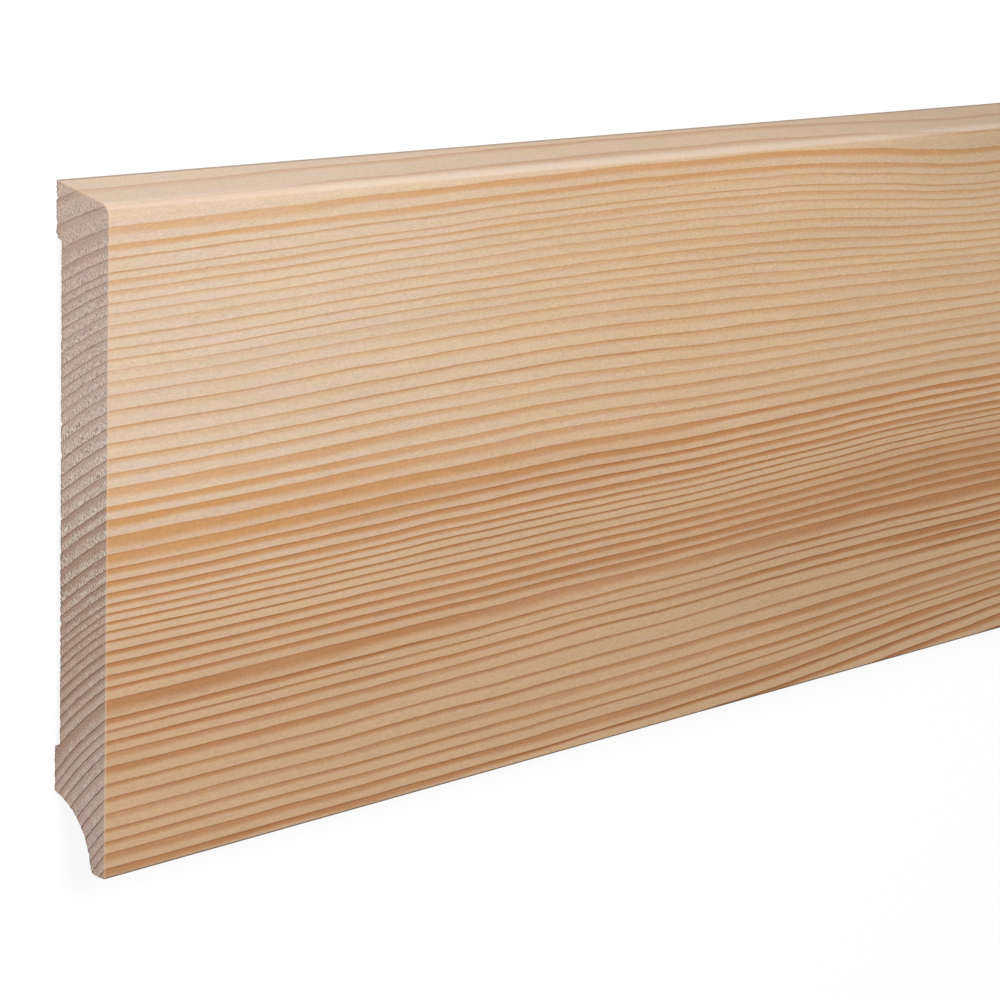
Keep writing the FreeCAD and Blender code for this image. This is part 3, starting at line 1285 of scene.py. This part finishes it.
# %% Sinking wood and torn corner
# Where splinters came away from the back edge of the left end: height above the foot,
# and how much larger each is than the ordinary teeth there
SNAGS = [(146.3, 0.6), (141.0, 0.8), (138.3, 0.6), (98.1, 0.8), (91.2, 0.5), (77.4, 0.4), (54.0, 0.6)]
SNAG_WIDTH = 0.55
RAY_SIZE = (0.35, 2.0)
RAY_NOISE = (1.0, 2.0, 0.6)
RAY_DEPTH = (0.25, 0.75, 0.15, 1.0)
SINK_REACH = (0.0, 1.2 * MM, 1.0, 0.0)
TEAR_REACH = (0.0, 1.6 * MM, 1.0, 0.0)
BACK_REACH = (0.0, 3.0, 1.0, 0.0)
TEETH_NOISE = (1.1, 1.0)
NICKS_NOISE = (2.2, 2.0)
NICKS_LAYER = 5.0
TEETH = (0.66, 0.8)
NICKS = (0.4, 0.75)
NICK_SHARE = 0.45

# How far apart in the noise the two ends are, so that they tear differently
ENDS_APART = 9.0


def sinking(net, wood, from_end, depth):
    """How far each point near an end sinks where the wood is soft."""
    rays = net.cells(wood["Round"], RAY_SIZE[0], wood["Height"], RAY_SIZE[1], wood["Along"])
    ragged = net.ramped(net.noise(rays, *RAY_NOISE), *RAY_DEPTH)
    return net.times(net.minus(1.0, wood["Late"]), ragged, depth, net.eased(from_end, *SINK_REACH))


def tearing(net, position, from_end, depth):
    """How far each point near the back corner of an end breaks away."""
    along, up = net.parts(net.scaled(position, 1 / MM))[:2]
    side = net.math("SIGN", along)
    apart = net.times(side, ENDS_APART)
    teeth = net.noise(net.joined(apart, up, 0.0), *TEETH_NOISE)
    nicks = net.noise(net.joined(apart, up, NICKS_LAYER), *NICKS_NOISE)
    bite = net.times_plus(net.eased(nicks, *NICKS), NICK_SHARE, net.eased(teeth, *TEETH))
    at_left = net.ramped(side, -1.0, 1.0, 1.0, 0.0)
    for height, size in SNAGS:
        off = net.math("ABSOLUTE", net.minus(up, height - HEIGHT / 2))
        bite = net.times_plus(net.ramped(off, 0.0, SNAG_WIDTH, size, 0.0), at_left, bite)
    near_back = net.ramped(named(net, "from_back"), *BACK_REACH)
    return net.times(bite, depth, net.eased(from_end, *TEAR_REACH), near_back)


print(len(SNAGS), "snags at the left end")


# %% Every move at the ends
ARRIS_ROUND = (0.3, 0.7, 0.12, 1.0)


def worked_ends(net, board, given):
    """The board with its arrises rounded, its soft wood sunk and its back corners torn."""
    position = here(net)
    from_end = named(net, "from_end")
    radius = net.times(given["Arris radius"], net.eased(named(net, "across"), *ARRIS_ROUND))
    short_end = net.largest(net.minus(radius, from_end), 0.0)
    short_side = net.largest(net.minus(radius, named(net, "from_arris")), 0.0)
    corner = net.vector("LENGTH", net.joined(short_end, short_side, 0.0))
    cut = net.largest(net.minus(1.0, net.over(radius, corner)), 0.0)
    wood = grown_wood(net, position, "Geometry")
    sink = sinking(net, wood, from_end, given["Relief depth"])
    tear = tearing(net, position, from_end, given["Tear depth"])
    towards_middle = net.times(net.math("SIGN", net.parts(position)[0]), -1.0)
    end_move = net.plus(net.times(short_end, cut), sink, tear)
    shift = net.joined(net.times(towards_middle, end_move), 0.0, tear)
    inwards = net.scaled(named(net, "inwards", "FLOAT_VECTOR"), net.times(short_side, cut))
    values = {"Geometry": board, "Offset": net.vector("ADD", shift, inwards)}
    return net.made("GeometryNodeSetPosition", values)


# %% [markdown]
# ## Loose fibres
# Where the saw tore the springwood, short pale fibres still hang on the end. Scattering
# suits them: one spindle of eight faces is laid on random points of the sawn faces, more
# where the wood is torn, and each lies along the ray through its point with a turn, a
# length and a tint of its own. Fixed seeds keep them the same on every run.


# %% One fibre
def spindle():
    """One fibre, one unit long: four-sided, and pointed at both ends."""
    waist = [(0.5, 0.0, 0.0), (0.0, 0.0, 0.5), (-0.5, 0.0, 0.0), (0.0, 0.0, -0.5)]
    tips = [(0.0, -0.5, 0.0), (0.0, 0.5, 0.0)]
    sides = []
    for corner in range(4):
        following = (corner + 1) % 4
        sides += [(corner, following, 4), (following, corner, 5)]
    mesh = bpy.data.meshes.new("fibre")
    mesh.from_pydata(waist + tips, [], sides)
    return bpy.data.objects.new("fibre", mesh)


fibre = spindle()
print("fibre:", len(fibre.data.polygons), "faces")

# %% Fibres on the torn wood
# Each draw: its low, its high and its seed
TINT_DRAW = (0.0, 1.0, 1)
HEADING_DRAW = (-0.3, 0.3, 2)
LENGTH_DRAW = (0.6, 1.3, 3)
WIDTH_DRAW = (0.16, 0.3, 4)
TILT_DRAW = (-0.12, 0.12, 6)
SCATTER_SEED = 5
FIBRE_THICKNESS = 0.07
CLEAR_OF_ARRIS = (0.62 * MM, 0.7 * MM)


def drawn(net, draw):
    """A random number for each fibre."""
    low, high, seed = draw
    return net.made("FunctionNodeRandomValue", {2: low, 3: high, "Seed": seed}, 1, data_type="FLOAT")


def laid_fibres(net, board, given):
    """Fibres laid along the rays on the torn springwood of both ends."""
    wood = grown_wood(net, here(net), "Geometry")
    clear = net.eased(named(net, "from_arris"), *CLEAR_OF_ARRIS)
    density = net.times(torn_springwood(net, wood), clear, given["Fibre density"])
    where = {"Mesh": board, "Selection": named(net, "sawn", "BOOLEAN"), "Density": density}
    where["Seed"] = SCATTER_SEED
    points = net.made("GeometryNodeDistributePointsOnFaces", where, "Points", distribute_method="RANDOM")
    points = stored(net, points, "tint", drawn(net, TINT_DRAW))
    heading = net.plus(net.over(wood["Round"], ROUND_SCALE), drawn(net, HEADING_DRAW))
    turn = net.made("FunctionNodeEulerToRotation", {0: net.joined(heading, 0.0, drawn(net, TILT_DRAW))})
    sizes = [FIBRE_THICKNESS, drawn(net, LENGTH_DRAW), drawn(net, WIDTH_DRAW)]
    size = net.joined(*[net.times(given["Fibre length"], share) for share in sizes])
    one = net.made("GeometryNodeObjectInfo", {"Object": given["Fibre"]}, "Geometry")
    values = {"Points": points, "Instance": one, "Rotation": turn, "Scale": size}
    laid = net.made("GeometryNodeInstanceOnPoints", values)
    laid = net.made("GeometryNodeRealizeInstances", {0: laid})
    return coated(net, laid, given["Fibre finish"])


print("the longest fibre is", LENGTH_DRAW[1], "times the length given to the tree")


# %% [markdown]
# ## The whole tree
# The three meshes are joined and welded along the arrises, so that no seam is open, and
# the ends are worked. Edges that bend sharply are marked, or the shading would run
# round them. Last, nothing may stand out past the two ends: a fibre that does is pushed
# back to the plane of the saw.

# %% Grow the board
WELD = 0.002 * MM
SHARP_BEND = math.radians(36)


def board_tree(inputs):
    """The whole board from its slice."""
    tree, net, given = new_tree("board_from_slice", inputs)
    loop, count = slice_border(net, given["Geometry"])
    skin = wrapped_skin(net, loop, count, given)
    far, near = end_sheets(net, given["Geometry"], loop, given["Length"])
    whole = {"Geometry": joined_meshes(net, far, near, skin), "Distance": WELD}
    board = worked_ends(net, net.made("GeometryNodeMergeByDistance", whole), given)
    bend = net.node("GeometryNodeInputMeshEdgeAngle").outputs["Unsigned Angle"]
    sharp = net.made("FunctionNodeCompare", {0: bend, 1: SHARP_BEND}, operation="GREATER_THAN")
    board = stored(net, board, "sharp_edge", sharp, "BOOLEAN", "EDGE")
    board = net.made("GeometryNodeRealizeInstances", {0: board})
    board = coated(net, board, given["Planed"])
    board = coated(net, board, given["Sawn"], named(net, "sawn", "BOOLEAN"))
    both = joined_meshes(net, laid_fibres(net, board, given), board)
    high = net.joined(net.times(given["Length"], HALF), 1.0, 1.0)
    inside = net.vector("MINIMUM", here(net), high)
    inside = net.vector("MAXIMUM", inside, net.scaled(high, -1.0))
    kept = net.made("GeometryNodeSetPosition", {"Geometry": both, "Position": inside})
    net.feed(net.node("NodeGroupOutput"), {0: kept})
    return tree


board_inputs = {
    "Length": ("Float", LENGTH * MM),
    "Stations": ("Int", 29),
    "Crowding": ("Float", 0.68),
    "Arris radius": ("Float", 0.35 * MM),
    "Relief depth": ("Float", 0.1 * MM),
    "Tear depth": ("Float", 0.34 * MM),
    "Fibre": ("Object", fibre),
    "Fibre density": ("Float", 4.4e6),
    "Fibre length": ("Float", 0.9 * MM),
    "Planed": ("Material", planed),
    "Sawn": ("Material", sawn),
    "Fibre finish": ("Material", fibre_finish),
}
board_kinds = {name: kind for name, (kind, value) in board_inputs.items()}
board_sizes = {name: value for name, (kind, value) in board_inputs.items()}
board = grown_object("skirting_board_length", slice_mesh, board_tree(board_kinds), board_sizes)
print(board.name, "has", len(board.data.vertices), "points")


# %% Check the board's mesh
def mesh_report(piece):
    """Print a piece's faces and volume; a positive volume means its faces point outwards."""
    mesh = piece.data
    mesh.calc_loop_triangles()
    volume = 0.0
    for triangle in mesh.loop_triangles:
        one, two, three = (mesh.vertices[corner].co for corner in triangle.vertices)
        volume += one.dot(two.cross(three)) / 6
    uses = {}
    for polygon in mesh.polygons:
        for key in polygon.edge_keys:
            uses[key] = uses.get(key, 0) + 1
    open_edges = sum(1 for count in uses.values() if count != 2)
    print(piece.name, "has", len(mesh.loop_triangles), "triangles")
    print(round(volume * 1000, 4), "litres,", open_edges, "open edges")


mesh_report(board)

# %% [markdown]
# ## Floor, light and camera
# A plain white floor and a bright even surrounding suit a pale bare wood. To the
# camera, and in reflections, the floor is a dark grey with a glow of its own: the glow
# makes it white, and the grey still takes the board's soft shadow. To all other light
# it is pale and matt and doesn't glow, so that it throws no more light on the board
# than a floor would. From beneath it is clear, so the board's back can be seen too.


# %% Floor
FLOOR_REACH = 40.0
FLOOR_GAP = 0.05 * MM
FLOOR_SEEN = 0.13
FLOOR_UNSEEN = 0.8
FLOOR_GLOW = 0.9
CORNERS = [(-1, -1), (1, -1), (1, 1), (-1, 1)]


def floor_material():
    """White to the camera, but keeping the board's soft shadow."""
    material = bpy.data.materials.new("floor_white")
    net = empty_net(material)
    path = net.node("ShaderNodeLightPath").outputs
    seen = net.largest(path["Is Camera Ray"], path["Is Glossy Ray"], path["Is Transmission Ray"])
    grey = net.grey(net.ramped(seen, 0.0, 1.0, FLOOR_UNSEEN, FLOOR_SEEN))
    matt = net.made("ShaderNodeBsdfDiffuse", {"Color": grey})
    glow = net.made("ShaderNodeEmission", {"Strength": net.times(seen, FLOOR_GLOW)})
    both = net.made("ShaderNodeAddShader", {0: matt, 1: glow})
    clear = net.made("ShaderNodeBsdfTransparent", {})
    behind = net.node("ShaderNodeNewGeometry").outputs["Backfacing"]
    surface = net.made("ShaderNodeMixShader", {0: behind, 1: both, 2: clear})
    net.feed(net.node("ShaderNodeOutputMaterial"), {"Surface": surface})
    return material


floor_mesh = bpy.data.meshes.new("floor")
floor_points = [(x * FLOOR_REACH, y * FLOOR_REACH, -FLOOR_GAP) for x, y in CORNERS]
floor_mesh.from_pydata(floor_points, [], [(0, 1, 2, 3)])
floor_mesh.materials.append(floor_material())
floor = bpy.data.objects.new("floor", floor_mesh)
bpy.context.scene.collection.objects.link(floor)
print("floor", 2 * FLOOR_REACH, "m wide,", round(FLOOR_GAP / MM, 3), "mm below the board")

# %% World
WHITE = (1.0, 1.0, 1.0, 1.0)
EVEN_LIGHT = 0.34
world = bpy.data.worlds.new("studio")
sky = empty_net(world)
sky_path = sky.node("ShaderNodeLightPath").outputs
sky_seen = sky.largest(sky_path["Is Camera Ray"], sky_path["Is Transmission Ray"])
even_light = sky.made("ShaderNodeBackground", {"Color": WHITE, "Strength": EVEN_LIGHT})
white_wall = sky.made("ShaderNodeBackground", {"Color": WHITE, "Strength": 1.0})
surround = sky.made("ShaderNodeMixShader", {0: sky_seen, 1: even_light, 2: white_wall})
sky.feed(sky.node("ShaderNodeOutputWorld"), {"Surface": surround})
bpy.context.scene.world = world
print("even light from all round:", EVEN_LIGHT)

# %% [markdown]
# ## Two soft lamps
# One soft lamp hangs over the face, above the top edge and near the left end, so the
# rounded arris catches it and the face grows quietly darker along the board. A long
# dim lamp keeps the rest of the board even when it is seen from elsewhere. Both hang
# as far up and as far forward, so one helper places and turns them.

# %% Lamps
LAMP_UP = 0.31
LAMP_FORWARD = 0.66
LAMP_DEPTH = 0.3


def soft_lamp(name, along, aim_along, width, watts):
    """A large soft lamp above the top edge, turned to a point on the board's back plane."""
    lamp = bpy.data.lights.new(name, "AREA")
    lamp.shape = "RECTANGLE"
    lamp.size = width
    lamp.size_y = LAMP_DEPTH
    lamp.energy = watts
    holder = bpy.data.objects.new(name, lamp)
    holder.location = (along, LAMP_UP, LAMP_FORWARD)
    aim = Vector((aim_along, 0.0, 0.0)) - holder.location
    holder.rotation_euler = aim.to_track_quat("-Z", "Y").to_euler()
    bpy.context.scene.collection.objects.link(holder)
    print(name, round(aim.length, 3), "m from what it lights")


soft_lamp("key_lamp", along=-1.36, aim_along=-1.15, width=0.3, watts=3.78)
soft_lamp("long_lamp", along=0.5, aim_along=0.5, width=1.4, watts=5.3)

# %% [markdown]
# ## A camera that looks down
# The board lies on its back, so the camera hangs over its left end, looks down at the
# show face and is turned until the board seems to stand upright. Its matrix is built
# from three directions, because that turn about the line of sight is easiest to give
# as a roll.

# %% Camera
CAMERA_PLACE = Vector((-1.58126, 0.16195, 0.51288))
CAMERA_AIM = Vector((-1.08298, -0.00706, 0.018))
CAMERA_ROLL = math.radians(2.19)
CAMERA_LENS = 109.35

ahead = (CAMERA_AIM - CAMERA_PLACE).normalized()
level_right = ahead.cross(Vector((0.0, 1.0, 0.0))).normalized()
level_up = level_right.cross(ahead)
right = level_right * math.cos(CAMERA_ROLL) + level_up * math.sin(CAMERA_ROLL)
axes = Matrix((right, right.cross(ahead), -ahead)).transposed()

camera_data = bpy.data.cameras.new("camera")
camera_data.lens = CAMERA_LENS
camera_data.sensor_width = 36.0
camera_data.clip_start = 0.05
camera = bpy.data.objects.new("camera", camera_data)
camera.matrix_world = Matrix.Translation(CAMERA_PLACE) @ axes.to_4x4()
bpy.context.scene.collection.objects.link(camera)
bpy.context.scene.camera = camera
bpy.context.scene.view_settings.view_transform = "Standard"
print("camera", round((CAMERA_AIM - CAMERA_PLACE).length, 3), "m from the board")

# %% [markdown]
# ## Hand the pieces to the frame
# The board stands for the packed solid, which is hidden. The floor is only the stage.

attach(board, "root")
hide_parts("skirting_board")
